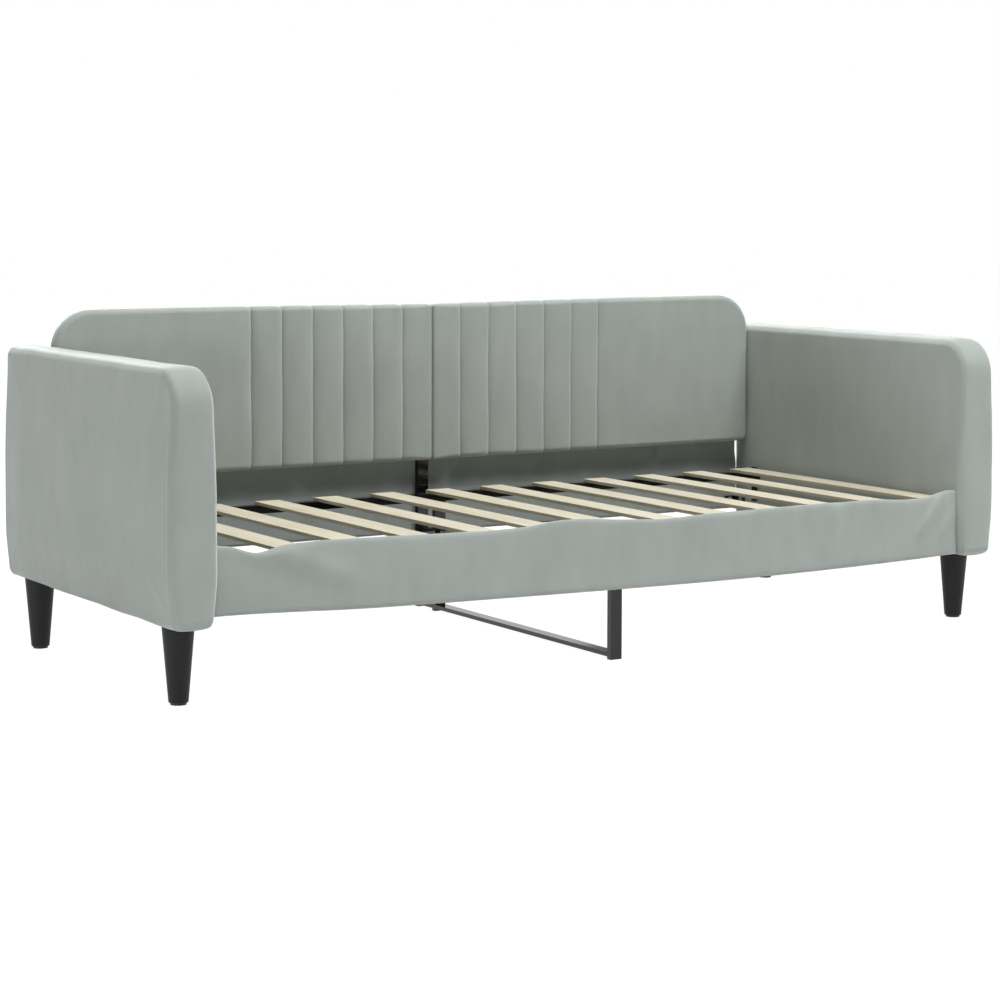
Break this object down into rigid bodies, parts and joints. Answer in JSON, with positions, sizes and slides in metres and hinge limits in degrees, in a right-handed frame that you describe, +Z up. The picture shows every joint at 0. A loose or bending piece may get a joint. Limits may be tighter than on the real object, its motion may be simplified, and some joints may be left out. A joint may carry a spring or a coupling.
{
  "type": "daybed",
  "caption": "Upholstered daybed frame: padded arms and channelled backrest in pale sage velvet, bare wooden slats, black steel centre frame and black tapered legs.",
  "frame": {"origin": "on the floor, under the middle of the bed", "axes": "+X along the bed to the right-hand arm, +Y from the open front to the backrest, +Z up"},
  "size_m": [2.216, 0.94, 0.782],
  "materials": {
    "velvet": "pale sage-grey velvet over foam, short nap",
    "timber": "planed softwood battens",
    "board": "raw plywood",
    "slat_wood": "sanded, unfinished softwood",
    "black_steel": "matt black powder coat",
    "zinc_steel": "zinc-plated",
    "black_leg": "black stain, satin",
    "plastic": "moulded, matt"
  },
  "bodies": {
    "root": {"left_arm_frame": "timber", "right_arm_frame": "timber", "left_arm_cover": "velvet", "right_arm_cover": "velvet", "left_back_board": "board", "right_back_board": "board", "left_back_cushion": "velvet", "right_back_cushion": "velvet", "left_back_bracket": "black_steel", "right_back_bracket": "black_steel", "back_tie_plate": "black_steel", "front_rail_board": "board", "front_rail_cover": "velvet", "back_rail_board": "board", "back_rail_cover": "velvet", "front_left_bracket": "black_steel", "front_right_bracket": "black_steel", "back_left_bracket": "black_steel", "back_right_bracket": "black_steel", "front_slat_bar": "black_steel", "rear_slat_bar": "black_steel", "left_bar_bracket": "black_steel", "right_bar_bracket": "black_steel", "slat_01": "slat_wood", "slat_02": "slat_wood", "slat_03": "slat_wood", "slat_04": "slat_wood", "slat_05": "slat_wood", "slat_06": "slat_wood", "slat_07": "slat_wood", "slat_08": "slat_wood", "slat_09": "slat_wood", "slat_10": "slat_wood", "slat_11": "slat_wood", "slat_12": "slat_wood", "slat_13": "slat_wood", "slat_pegs": "plastic", "centre_front_post": "black_steel", "centre_rear_upright": "black_steel", "centre_back_post": "black_steel", "centre_floor_bar": "black_steel", "centre_cross_bar": "black_steel", "centre_foot_plugs": "plastic", "front_left_leg": "black_leg", "front_right_leg": "black_leg", "back_left_leg": "black_leg", "back_right_leg": "black_leg", "leg_studs": "zinc_steel", "leg_inserts": "zinc_steel", "leg_glides": "plastic", "arm_bolts": "zinc_steel", "rail_bolts": "zinc_steel", "back_bolts": "zinc_steel", "centre_bolts": "black_steel", "bar_screws": "zinc_steel"}
  },
  "joints": []
}
